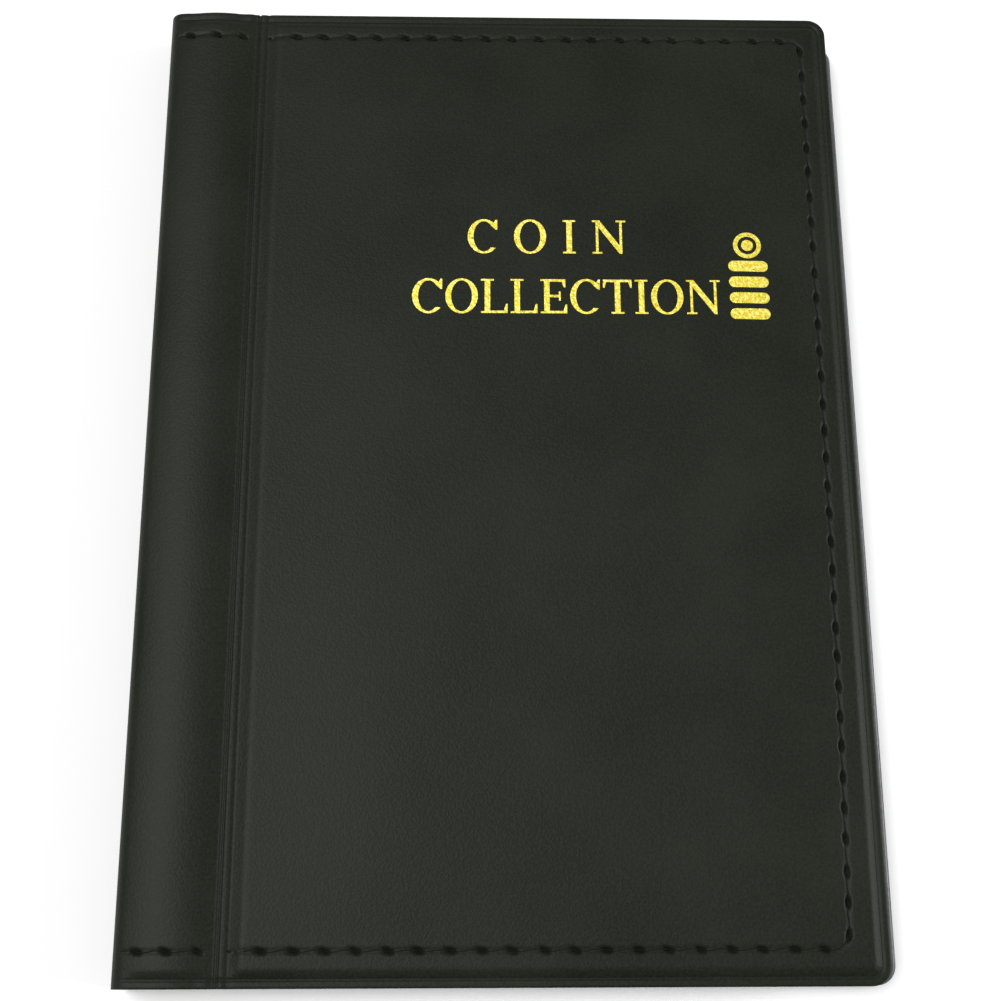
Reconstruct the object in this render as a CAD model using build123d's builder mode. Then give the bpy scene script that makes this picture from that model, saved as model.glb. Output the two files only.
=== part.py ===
from build123d import *
import os

# A pocket coin album, closed and lying on its back cover. Millimetres.
# X runs from the spine to the free edge, Y up the page and Z out of the front cover.
# The origin is under the middle of the album, on the surface that it lies on.

# Overall size
album_height = 176.0
album_width = 127.0
front_setback = 3.0
corner_radius = 3.3

# Cover layers, from the outside in, and the welded rim round them
skin = 0.45
foam = 0.6
board = 1.1
lining = 0.3
rim = 1.2
outward_depth = skin + foam
inward_depth = board + lining
cover_thickness = outward_depth + inward_depth

# Leaves: a clear backing sheet with four pocket strips welded on it
leaf_count = 10
leaf_pitch = 0.56
leaf_height = 170.0
film = 0.2
pocket_film = 0.14
leaf_corner = 3.0
gap_under_leaves = 0.28
gap_over_leaves = 0.34
pocket_rows = 4
pocket_columns = 3
pocket_height = 41.0
pocket_width = 29.6
pocket_mouth = 1.0
notch_radius = 7.0
free_edge_margin = 1.5

# The binding: distances from the outside of the spine
crease = 17.7
web_half = 1.6
web_split = 0.05
crown_rise = 1.2
spine_shoulder = 1.9
spine_round = 2.6
board_start = 2.6
board_end = 15.6
stub_start = 1.1
spacer_end = 15.0
first_fold = 24.0
fold_step = 1.3
folds_apart = 5
fold_gap = 0.1
rivet_x = 8.5
rivet_spacing = 62.0
rivet_count = 3
rivet_radius = 2.0
rivet_clearance = 0.1
rivet_head_radius = 3.5
rivet_head = 0.4

# Stitching: a seam of thread that lies flush in the skin and in the lining
seam_inset = 5.1
seam_corner = 2.5
stitch_pitch = 5.05
thread = 0.5
thread_depth = 0.25
thread_leg = 0.4

# Foil lettering and the device beside it
foil = 0.04
letter_height = 7.0
letter_width = 3.4
letter_stroke = 1.0
title_lines = (("COIN", 8.5, 41.7, 7.2), ("COLLECTION", 12.0, 30.0, 5.6))
letter_strokes = {
    "C": [[(1, 1), (0, 1), (0, 0), (1, 0)]],
    "E": [[(1, 1), (0, 1), (0, 0), (1, 0)], [(0, 0.5), (0.8, 0.5)]],
    "I": [[(0.5, 0), (0.5, 1)]],
    "L": [[(0, 1), (0, 0), (1, 0)]],
    "N": [[(0, 0), (0, 1), (1, 0), (1, 1)]],
    "O": [[(0.5, 0), (0, 0), (0, 1), (1, 1), (1, 0), (0.5, 0)]],
    "T": [[(0, 1), (1, 1)], [(0.5, 1), (0.5, 0)]],
}
device_x = 45.5
device_y = 35.5
device_bars = 5
device_bar = (7.6, 2.2)
device_bar_pitch = 3.1
device_coin_radius = 2.6

# Worked out from the sizes above
spine_x = -album_width / 2
free_x = album_width / 2
front_free_x = free_x - front_setback
crease_x = spine_x + crease
leaves_thickness = (leaf_count - 1) * leaf_pitch + film
back_inner_z = cover_thickness
front_inner_z = back_inner_z + gap_under_leaves + leaves_thickness + pocket_film + gap_over_leaves
front_top_z = front_inner_z + cover_thickness
front_web_z = front_top_z - foam
crown_z = front_web_z + crown_rise
front_seam = Plane(origin=(0, 0, front_top_z - outward_depth))
back_seam = Plane(origin=(0, 0, outward_depth), x_dir=(1, 0, 0), z_dir=(0, 0, -1))
leaf_free_x = free_x - front_setback - 2.5
leaf_stack_top_z = back_inner_z + gap_under_leaves + leaves_thickness
leaf_stack_bottom_z = back_inner_z + gap_under_leaves
seam_y = album_height / 2 - seam_inset


def finish(piece, label):
    """Label a finished piece and write it to its own STEP file."""
    piece.part.label = label
    export_step(piece.part, f"parts/{label}.step")


def leaf_z(number):
    """Height of the underside of a leaf's backing sheet; leaf 1 is the uppermost."""
    return leaf_stack_bottom_z + (leaf_count - number) * leaf_pitch


def fold_x(number):
    """Where a leaf folds: down to the middle leaf, each folds a little further from the spine."""
    return spine_x + first_fold + fold_step * min(number - 1, folds_apart - 1)


def cover_outline(plane, free_edge, hinge_edge, inset):
    """The outline of one cover layer, with rounded corners at the free edge."""
    with BuildSketch(plane) as outline:
        with Locations(((hinge_edge + free_edge - inset) / 2, 0)):
            Rectangle(free_edge - inset - hinge_edge, album_height - 2 * inset)
        fillet(outline.vertices().group_by(Axis.X)[-1], corner_radius - inset)
    return outline.sketch


def seam_line(free_edge):
    """The seam's line on a cover: out along one edge, down the free edge and back."""
    start = crease_x + web_half + rim
    end = free_edge - seam_inset
    with BuildLine() as line:
        FilletPolyline((start, seam_y), (end, seam_y), (end, -seam_y), (start, -seam_y), radius=seam_corner)
    return line.wire()


def stitch_points(wire):
    """Needle holes evenly spaced along a seam, half a stitch in from its ends."""
    count = round(wire.length / stitch_pitch)
    return [wire @ ((n + 0.5) / count) for n in range(count)]


def cover_stitching(plane, free_edge):
    """One cover's thread: a run on the skin, a run on the lining and a leg in every needle hole."""
    wire = seam_line(free_edge)
    holes = [(point.X, point.Y) for point in stitch_points(wire)]
    with BuildPart() as stitching:
        for level in (outward_depth - thread_depth, -inward_depth):
            with BuildSketch(plane.offset(level)):
                trace(wire, line_width=thread)
            extrude(amount=thread_depth)
        with BuildSketch(plane.offset(-inward_depth)):
            with Locations(*holes):
                Circle(thread_leg / 2)
        extrude(amount=cover_thickness)
    return stitching


def cover_skin(plane, free_edge, stitching):
    """A cover's skin: a raised tray over the foam, with a flat welded rim all round."""
    hinge_edge = crease_x + web_half
    with BuildPart() as tray:
        extrude(cover_outline(plane, free_edge, crease_x + web_split, 0), skin)
        extrude(cover_outline(plane, free_edge, hinge_edge, rim), outward_depth)
        extrude(cover_outline(plane, free_edge, hinge_edge + skin, rim + skin), foam, mode=Mode.SUBTRACT)
        add(stitching.part, mode=Mode.SUBTRACT)
    return tray


def cover_lining(plane, free_edge, stitching):
    """A cover's lining: a shallow tray under the board, welded to the skin at the rim."""
    hinge_edge = crease_x + web_half
    with BuildPart() as tray:
        extrude(cover_outline(plane, free_edge, crease_x + web_split, 0), -lining)
        extrude(cover_outline(plane, free_edge, hinge_edge, rim), -inward_depth)
        extrude(cover_outline(plane, free_edge, hinge_edge + lining, rim + lining), -board, mode=Mode.SUBTRACT)
        add(stitching.part, mode=Mode.SUBTRACT)
    return tray


def cover_filling(plane, free_edge, wall, thickness, stitching):
    """A sheet sealed inside a cover: foam outwards of the seam plane, board inwards of it."""
    with BuildPart() as sheet:
        extrude(cover_outline(plane, free_edge, crease_x + web_half + wall, rim + wall), thickness)
        add(stitching.part, mode=Mode.SUBTRACT)
    return sheet


def build_cover(name, plane, free_edge):
    """All the layers of one cover."""
    stitching = cover_stitching(plane, free_edge)
    finish(stitching, f"{name}_stitching")
    finish(cover_skin(plane, free_edge, stitching), f"{name}_skin")
    finish(cover_lining(plane, free_edge, stitching), f"{name}_lining")
    finish(cover_filling(plane, free_edge, skin, foam, stitching), f"{name}_foam")
    finish(cover_filling(plane, free_edge, lining, -board, stitching), f"{name}_board")


def title_foil():
    """The two lines of the title, each letter a few plain strokes of foil."""
    with BuildPart() as title:
        with BuildSketch(Plane.XY.offset(front_top_z)):
            for words, middle_x, middle_y, pitch in title_lines:
                start_x = middle_x - (len(words) - 1) * pitch / 2 - letter_width / 2
                for n, letter in enumerate(words):
                    corner = Vector(start_x + n * pitch, middle_y - letter_height / 2)
                    for stroke in letter_strokes[letter]:
                        with BuildLine():
                            Polyline(*[corner + (u * letter_width, v * letter_height) for u, v in stroke])
                        trace(line_width=letter_stroke)
        extrude(amount=foil)
    return title


def device_foil():
    """The device beside the title: a stack of flat bars with a disc on top."""
    top_bar_y = device_y + (device_bars - 3) * device_bar_pitch / 2
    with BuildPart() as device:
        with BuildSketch(Plane.XY.offset(front_top_z)):
            for n in range(device_bars):
                with Locations((device_x, top_bar_y - n * device_bar_pitch)):
                    SlotOverall(*device_bar)
            with Locations((device_x, top_bar_y + device_bar_pitch / 2 + device_coin_radius)):
                Circle(device_coin_radius)
        extrude(amount=foil)
    return device


def spine_face():
    """The outside of the spine in section: crowned strip on top, flat strip underneath."""
    split_x = crease_x - web_split
    strip_x = crease_x - web_half
    shoulder = (spine_x + spine_shoulder, front_web_z)
    with BuildSketch(Plane.XZ) as section:
        with BuildLine():
            Line((split_x, foam), (split_x, front_web_z))
            Line((split_x, front_web_z), (strip_x, front_web_z))
            crown = ThreePointArc((strip_x, front_web_z), ((strip_x + shoulder[0]) / 2, crown_z), shoulder)
            edge = TangentArc(shoulder, (spine_x, front_web_z - 2.4), tangent=crown % 1)
            Line(edge @ 1, (spine_x, spine_round))
            JernArc((spine_x, spine_round), (0, -1), spine_round, 90)
            Line((spine_x + spine_round, 0), (strip_x, 0))
            Line((strip_x, 0), (strip_x, foam))
            Line((strip_x, foam), (split_x, foam))
        make_face()
    return section.sketch


def spine_hollow():
    """The space inside the spine cover in section, open towards the leaves."""
    with BuildSketch(Plane.XZ) as mouth:
        with Locations((crease_x - web_half, (outward_depth + front_web_z - skin) / 2)):
            Rectangle(2 * web_half, front_web_z - skin - outward_depth)
    return offset(spine_face(), amount=-skin, kind=Kind.INTERSECTION) + mouth.sketch


def across(sketch, length):
    """A section in the XZ plane made into a solid across the album's height."""
    return extrude(sketch, length / 2, both=True, mode=Mode.PRIVATE)


def box_between(low, high):
    """A plain box between two corners, kept out of the part until it is added."""
    size = [b - a for a, b in zip(low, high)]
    middle = [(a + b) / 2 for a, b in zip(low, high)]
    return Pos(*middle) * Box(*size, mode=Mode.PRIVATE)


def spine_thread():
    """The seam over the strip: a run on the spine cover, a run on the lining, and the legs."""
    run = offset(spine_face(), amount=-thread_depth, kind=Kind.INTERSECTION)
    on_skin = across(spine_face() - run, thread)
    keep = box_between((spine_x, -thread, 0), (crease_x - web_half, thread, crown_z))
    stitches = [crease_x - web_half - stitch_pitch * (n + 0.5) for n in range(2)]
    legs = [
        (x, low, high)
        for x in stitches
        for low, high in ((leaf_stack_top_z, front_web_z + crown_rise / 2), (thread_depth / 2, leaf_stack_bottom_z))
    ]
    with BuildPart() as seam:
        for side in (-1, 1):
            place = Pos(0, side * seam_y, 0)
            add(place * (on_skin & keep))
            for x, low, high in legs:
                add(place * Pos(x, 0, (low + high) / 2) * Cylinder(thread_leg / 2, high - low, mode=Mode.PRIVATE))
    return seam


def rivets():
    """Three solid rivets through the strip boards, with flat heads over them."""
    low = outward_depth - rivet_head
    high = front_web_z - skin + rivet_head
    with BuildPart() as group:
        for plane_z, radius, length in (
            (low, rivet_head_radius, rivet_head),
            (low, rivet_radius, high - low),
            (high - rivet_head, rivet_head_radius, rivet_head),
        ):
            with BuildSketch(Plane.XY.offset(plane_z)):
                with Locations((spine_x + rivet_x, 0)):
                    with GridLocations(0, rivet_spacing, 1, rivet_count):
                        Circle(radius)
            extrude(amount=length)
    return group


def rivet_holes(radius, low, high):
    """Holes for the rivets between two heights, to be cut from a strip."""
    with BuildPart() as holes:
        with BuildSketch(Plane.XY.offset(low)):
            with Locations((spine_x + rivet_x, 0)):
                with GridLocations(0, rivet_spacing, 1, rivet_count):
                    Circle(radius)
        extrude(amount=high - low)
    return holes.part


def spine_cover(seam):
    """The leatherette that wraps the spine, from crease to crease."""
    with BuildPart() as cover:
        add(across(spine_face() - spine_hollow(), album_height))
        add(seam.part, mode=Mode.SUBTRACT)
    return cover


def spine_lining(seam):
    """The lining inside the spine cover: it dips from each crease to grip the stubs."""
    half = album_height / 2
    top, bottom = leaf_stack_top_z, leaf_stack_bottom_z
    web_top, web_bottom = front_web_z - skin, outward_depth
    dip = (crease_x - web_half - lining, crease_x - web_half)
    back = (spine_x + 0.6, spine_x + 0.6 + lining)
    with BuildPart() as sheet:
        for x, z in (
            ((dip[0], crease_x - web_split), (web_top - lining, web_top)),
            (dip, (top, web_top)),
            ((back[0], dip[1]), (top, top + lining)),
            (back, (bottom - lining, top + lining)),
            ((back[0], dip[1]), (bottom - lining, bottom)),
            (dip, (web_bottom, bottom)),
            ((dip[0], crease_x - web_split), (web_bottom, web_bottom + lining)),
        ):
            add(box_between((x[0], -half, z[0]), (x[1], half, z[1])))
        add(rivet_holes(rivet_radius + rivet_clearance, 0, crown_z), mode=Mode.SUBTRACT)
        add(seam.part, mode=Mode.SUBTRACT)
    return sheet


def strip_padding(seam, low, high):
    """Foam between the spine cover and a strip board, with room for the rivet heads."""
    half = album_height / 2 - rim
    slab = box_between((spine_x + board_start, -half, low), (spine_x + board_end, half, high))
    with BuildPart() as pad:
        add(across(spine_hollow(), album_height - 2 * rim) & slab)
        add(rivet_holes(rivet_head_radius, low, low + rivet_head), mode=Mode.SUBTRACT)
        add(rivet_holes(rivet_head_radius, high - rivet_head, high), mode=Mode.SUBTRACT)
        add(seam.part, mode=Mode.SUBTRACT)
    return pad


def strip_board(seam, low, high):
    """A stiff board beside the spine that the rivets clamp."""
    half = album_height / 2 - rim
    with BuildPart() as strip:
        add(box_between((spine_x + board_start, -half, low), (spine_x + board_end, half, high)))
        add(rivet_holes(rivet_radius + rivet_clearance, low, high), mode=Mode.SUBTRACT)
        add(seam.part, mode=Mode.SUBTRACT)
    return strip


def binding_strip(end_x, low, high):
    """A strip of sheet in the binding: a leaf's stub or a spacer."""
    half = leaf_height / 2
    with BuildPart() as strip:
        add(box_between((spine_x + stub_start, -half, low), (end_x, half, high)))
        add(rivet_holes(rivet_radius + rivet_clearance, low, high), mode=Mode.SUBTRACT)
    return strip


def leaf_backing(number):
    """The clear sheet of a leaf from its fold to its free edge."""
    start = fold_x(number) + fold_gap
    with BuildPart() as sheet:
        with BuildSketch(Plane.XY.offset(leaf_z(number))) as outline:
            with Locations(((start + leaf_free_x) / 2, 0)):
                Rectangle(leaf_free_x - start, leaf_height)
            fillet(outline.vertices().group_by(Axis.X)[-1], leaf_corner)
        extrude(amount=film)
    return sheet


def leaf_pockets(number):
    """Four strips of clear film, each three pockets wide, with a thumb notch at every mouth."""
    strip_width = pocket_columns * pocket_width
    middle = leaf_free_x - free_edge_margin - strip_width / 2
    with BuildSketch(mode=Mode.PRIVATE) as strip:
        Rectangle(strip_width, pocket_height)
        with Locations((0, pocket_height / 2)):
            with GridLocations(pocket_width, 0, pocket_columns, 1):
                Circle(notch_radius, mode=Mode.SUBTRACT)
    with BuildPart() as strips:
        with BuildSketch(Plane.XY.offset(leaf_z(number) + film)):
            with Locations((middle, 0)):
                with GridLocations(0, pocket_height + pocket_mouth, 1, pocket_rows):
                    add(strip.sketch)
        extrude(amount=pocket_film)
    return strips


def build_binding():
    """The spine, its boards and padding, the rivets, the stubs and the spacers."""
    seam = spine_thread()
    finish(seam, "spine_stitching")
    finish(spine_cover(seam), "spine_cover")
    finish(spine_lining(seam), "spine_lining")
    front_board = (leaf_stack_top_z + lining, front_web_z - skin)
    back_board = (outward_depth, leaf_stack_bottom_z - lining)
    finish(strip_board(seam, *front_board), "front_strip_board")
    finish(strip_board(seam, *back_board), "back_strip_board")
    finish(strip_padding(seam, front_board[1], crown_z), "front_strip_padding")
    finish(strip_padding(seam, skin, outward_depth), "back_strip_padding")
    finish(rivets(), "rivets")
    for number in range(1, leaf_count + 1):
        low = leaf_z(number)
        finish(binding_strip(fold_x(number) - fold_gap, low, low + film), f"leaf_{number:02d}_stub")
    for number in range(1, leaf_count):
        low = leaf_z(number + 1) + film
        finish(binding_strip(spine_x + spacer_end, low, leaf_z(number)), f"spacer_{number:02d}")


def build_leaves():
    """The leaves from their folds outwards."""
    for number in range(1, leaf_count + 1):
        finish(leaf_backing(number), f"leaf_{number:02d}_backing")
        finish(leaf_pockets(number), f"leaf_{number:02d}_pockets")


os.makedirs("parts", exist_ok=True)
build_cover("front_cover", front_seam, front_free_x)
build_cover("back_cover", back_seam, free_x)
finish(title_foil(), "title_foil")
finish(device_foil(), "device_foil")
build_binding()
build_leaves()
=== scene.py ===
"""Visual model of a padded pocket coin album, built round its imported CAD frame.

The album lies closed on its back cover. X runs from the spine to the free edge,
Y up the page and Z out of the front cover. Sizes are in millimetres until a mesh
is finished, when it is scaled to the frame's metres.
"""
from __future__ import annotations

import logging
import math
from collections.abc import Callable, Sequence
from dataclasses import dataclass, field
from enum import Enum

import bmesh
import bpy
from mathutils import Matrix, Vector, noise

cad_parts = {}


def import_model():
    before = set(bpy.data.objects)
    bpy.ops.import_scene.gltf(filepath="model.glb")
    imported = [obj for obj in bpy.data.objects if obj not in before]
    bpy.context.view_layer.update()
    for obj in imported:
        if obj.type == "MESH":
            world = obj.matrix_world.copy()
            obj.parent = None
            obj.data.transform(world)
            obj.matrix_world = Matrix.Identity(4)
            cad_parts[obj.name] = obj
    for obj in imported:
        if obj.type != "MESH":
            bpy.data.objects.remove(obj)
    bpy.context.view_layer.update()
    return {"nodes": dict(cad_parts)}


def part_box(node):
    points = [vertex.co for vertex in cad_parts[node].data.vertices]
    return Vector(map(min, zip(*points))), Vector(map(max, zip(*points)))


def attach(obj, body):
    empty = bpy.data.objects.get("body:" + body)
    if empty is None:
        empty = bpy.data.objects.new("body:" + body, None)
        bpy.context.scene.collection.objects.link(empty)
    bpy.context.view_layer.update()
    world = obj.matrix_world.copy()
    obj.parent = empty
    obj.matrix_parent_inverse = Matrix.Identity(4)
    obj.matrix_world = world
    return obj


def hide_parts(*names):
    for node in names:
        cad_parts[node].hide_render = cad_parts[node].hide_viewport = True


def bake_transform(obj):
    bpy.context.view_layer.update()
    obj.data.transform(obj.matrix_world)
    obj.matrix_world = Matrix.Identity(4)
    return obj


log = logging.getLogger("coin_album")

MM = 0.001
SURFACE = "laid"
LEAVES = 10


# Small measures

def smooth(low: float, high: float, value: float) -> float:
    """Return 0 at low, 1 at high and an eased share between them."""
    share = min(max((value - low) / (high - low), 0.0), 1.0)
    return share * share * (3.0 - 2.0 * share)


def dent(distance: float, width: float) -> float:
    """Return the depth share of a soft groove at a distance from its middle."""
    return math.exp(-((distance / width) ** 2))


def linear(red: int, green: int, blue: int) -> tuple[float, float, float, float]:
    """Return a shader colour for a displayed colour.

    Args:
        red: Red from 0 to 255, as displayed.
        green: Green, likewise.
        blue: Blue, likewise.

    Returns:
        The linear colour with full alpha.
    """
    def one(value: int) -> float:
        """Return one channel's linear share."""
        share = value / 255.0
        return share / 12.92 if share <= 0.04045 else ((share + 0.055) / 1.055) ** 2.4
    return one(red), one(green), one(blue), 1.0


def stations(start: float, *stretches: tuple[float, float]) -> list[float]:
    """Return places along a line, evenly spaced within each stretch.

    Args:
        start: The first place.
        stretches: For each stretch, where it ends and about how far apart its places are.

    Returns:
        The places in order, the ends of the stretches among them.
    """
    places = [start]
    for end, step in stretches:
        begin = places[-1]
        count = max(1, round(abs(end - begin) / step))
        places += [begin + (end - begin) * (n + 1) / count for n in range(count)]
    return places


def mirrored(half: Sequence[float]) -> list[float]:
    """Return stations from one edge to the other, for a half that runs from the middle out."""
    return [-place for place in reversed(half) if place > 0.0] + list(half)


def frame_box(node: str) -> tuple[Vector, Vector]:
    """Return the low and high corners of a node of the frame, in millimetres."""
    low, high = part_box(node)
    return Vector(low) / MM, Vector(high) / MM


# The album's shared sizes

class Side(Enum):
    """The album's two halves, by which way their outsides face."""

    FRONT = 1
    BACK = -1

    @property
    def label(self) -> str:
        """The half's name in the names of pieces."""
        return "front" if self is Side.FRONT else "back"

    @property
    def cover(self) -> str:
        """The name of the body that this half's cover is."""
        return f"{self.label}_cover"


@dataclass(frozen=True)
class Album:
    """Sizes that the pieces share, in millimetres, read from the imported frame."""

    half_height: float
    spine_x: float
    crease_x: float
    crown_z: float
    free_x: dict[Side, float]
    web_z: dict[Side, float]
    lining_web_z: dict[Side, float]
    lining_z: dict[Side, float]
    stub_z: dict[Side, float]
    board_z: dict[Side, float]
    step: float
    rim: float = 1.2
    corner: float = 3.3
    skin: float = 0.45
    lining: float = 0.3
    web_half: float = 1.6
    middle_z: float = 5.4

    @classmethod
    def from_frame(cls) -> Album:
        """Read the sizes from the boxes of the frame's nodes."""
        def face(boxes: dict[Side, tuple[Vector, Vector]], sunk: float = 0.0) -> dict[Side, float]:
            """Return how high each half's outer face is, less how far something is sunk under it."""
            return {side: boxes[side][side is Side.FRONT].z - side.value * sunk for side in Side}

        spine_low, spine_high = frame_box("spine_cover")
        skin = {side: frame_box(f"{side.cover}_skin") for side in Side}
        lining = {side: frame_box(f"{side.cover}_lining") for side in Side}
        stubs = {Side.FRONT: frame_box("leaf_01_stub"), Side.BACK: frame_box(f"leaf_{LEAVES:02d}_stub")}
        foam_low, foam_high = frame_box("front_cover_foam")
        step = foam_high.z - foam_low.z
        return cls(
            half_height=spine_high.y,
            spine_x=spine_low.x,
            crease_x=(spine_high.x + skin[Side.FRONT][0].x) / 2,
            crown_z=spine_high.z,
            free_x={side: skin[side][1].x for side in Side},
            web_z=face(skin, step),
            lining_web_z=face(lining, cls.lining),
            lining_z={side: lining[side][side is Side.BACK].z for side in Side},
            stub_z=face(stubs),
            board_z=face({side: frame_box(f"{side.label}_strip_board") for side in Side}),
            step=step,
        )

    def inset(self, side: Side, x: float, y: float) -> float:
        """Return how far a place on a cover is inside its free edges, round the corners.

        Args:
            side: The half whose cover it is.
            x: The place's x.
            y: The place's y.

        Returns:
            The distance, which is negative outside the cover.
        """
        from_edge = self.free_x[side] - x
        from_end = self.half_height - abs(y)
        if from_edge < self.corner and from_end < self.corner:
            return self.corner - math.hypot(self.corner - from_edge, self.corner - from_end)
        return min(from_edge, from_end)


@dataclass(frozen=True)
class Run:
    """A stretch of a path in section: straight, or turning evenly."""

    length: float
    heading: float
    turn: float = 0.0

    def along(self, distance: float) -> tuple[float, float, float]:
        """Return the x and z moved and the heading, in radians, after a distance.

        Args:
            distance: How far along the run to go.

        Returns:
            The moves in x and z and the heading.
        """
        start = math.radians(self.heading)
        if not self.turn:
            return distance * math.cos(start), distance * math.sin(start), start
        rate = math.radians(self.turn) / self.length
        end = start + rate * distance
        return (math.sin(end) - math.sin(start)) / rate, (math.cos(start) - math.cos(end)) / rate, end


@dataclass(frozen=True)
class Path:
    """A chain of runs in section that starts at the crease's spine side and ends on the spine."""

    start: tuple[float, float]
    runs: tuple[Run, ...]

    @property
    def length(self) -> float:
        """The length of the whole chain."""
        return sum(run.length for run in self.runs)

    def at(self, distance: float) -> tuple[float, float, float]:
        """Return x, z and the heading at a distance from the start.

        Args:
            distance: Distance along the chain, which may run past its end.

        Returns:
            The x, the z and the heading in radians.
        """
        x, z = self.start
        for run in self.runs[:-1]:
            if distance <= run.length:
                break
            moved_x, moved_z, _ = run.along(run.length)
            x, z, distance = x + moved_x, z + moved_z, distance - run.length
        else:
            run = self.runs[-1]
        moved_x, moved_z, heading = run.along(distance)
        return x + moved_x, z + moved_z, heading


def crowned_path(album: Album) -> Path:
    """Return the outside of the front half: over the crowned strip and down the spine.

    Args:
        album: The shared sizes.

    Returns:
        The path in section.
    """
    start_x, web_z = album.crease_x - album.web_half, album.web_z[Side.FRONT]
    shoulder_x, edge_drop = album.spine_x + 1.9, 2.4
    chord, rise = start_x - shoulder_x, album.crown_z - web_z
    half_turn = 2.0 * math.atan(rise / (chord / 2.0))
    crown_length = chord / math.sin(half_turn) * half_turn
    fall = math.atan2(edge_drop, shoulder_x - album.spine_x)
    edge_turn = 2.0 * (fall - half_turn)
    edge_chord = math.hypot(edge_drop, shoulder_x - album.spine_x)
    edge_length = edge_chord / 2.0 / math.sin(edge_turn / 2.0) * edge_turn
    return Path(
        (start_x, web_z),
        (
            Run(crown_length, 180.0 - math.degrees(half_turn), 2.0 * math.degrees(half_turn)),
            Run(edge_length, 180.0 + math.degrees(half_turn), math.degrees(edge_turn)),
            Run(web_z - edge_drop - album.middle_z, 270.0),
        ),
    )


def flat_path(album: Album) -> Path:
    """Return the outside of the back half: under the flat strip and up round the spine.

    Args:
        album: The shared sizes.

    Returns:
        The path in section.
    """
    start_x, web_z = album.crease_x - album.web_half, album.web_z[Side.BACK]
    ramp, spine_round = 0.8, 2.6
    slope = math.degrees(math.atan2(web_z, ramp))
    return Path(
        (start_x, web_z),
        (
            Run(math.hypot(ramp, web_z), 180.0 + slope),
            Run(start_x - ramp - album.spine_x - spine_round, 180.0),
            Run(math.pi / 2.0 * spine_round, 180.0, -90.0),
            Run(album.middle_z - spine_round, 90.0),
        ),
    )


def lining_path(album: Album, side: Side) -> Path:
    """Return the inside of one half: down the dip, along the stubs and over the spine's inside.

    Args:
        album: The shared sizes.
        side: The half whose inside it is.

    Returns:
        The path in section.
    """
    start_x = album.crease_x - album.web_half
    inside_x = album.spine_x + 0.9
    inward = -90.0 * side.value
    return Path(
        (start_x, album.lining_web_z[side]),
        (
            Run(abs(album.lining_web_z[side] - album.stub_z[side]), inward),
            Run(start_x - inside_x, 180.0),
            Run(abs(album.stub_z[side] - album.middle_z), inward),
        ),
    )


# The seam

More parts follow.
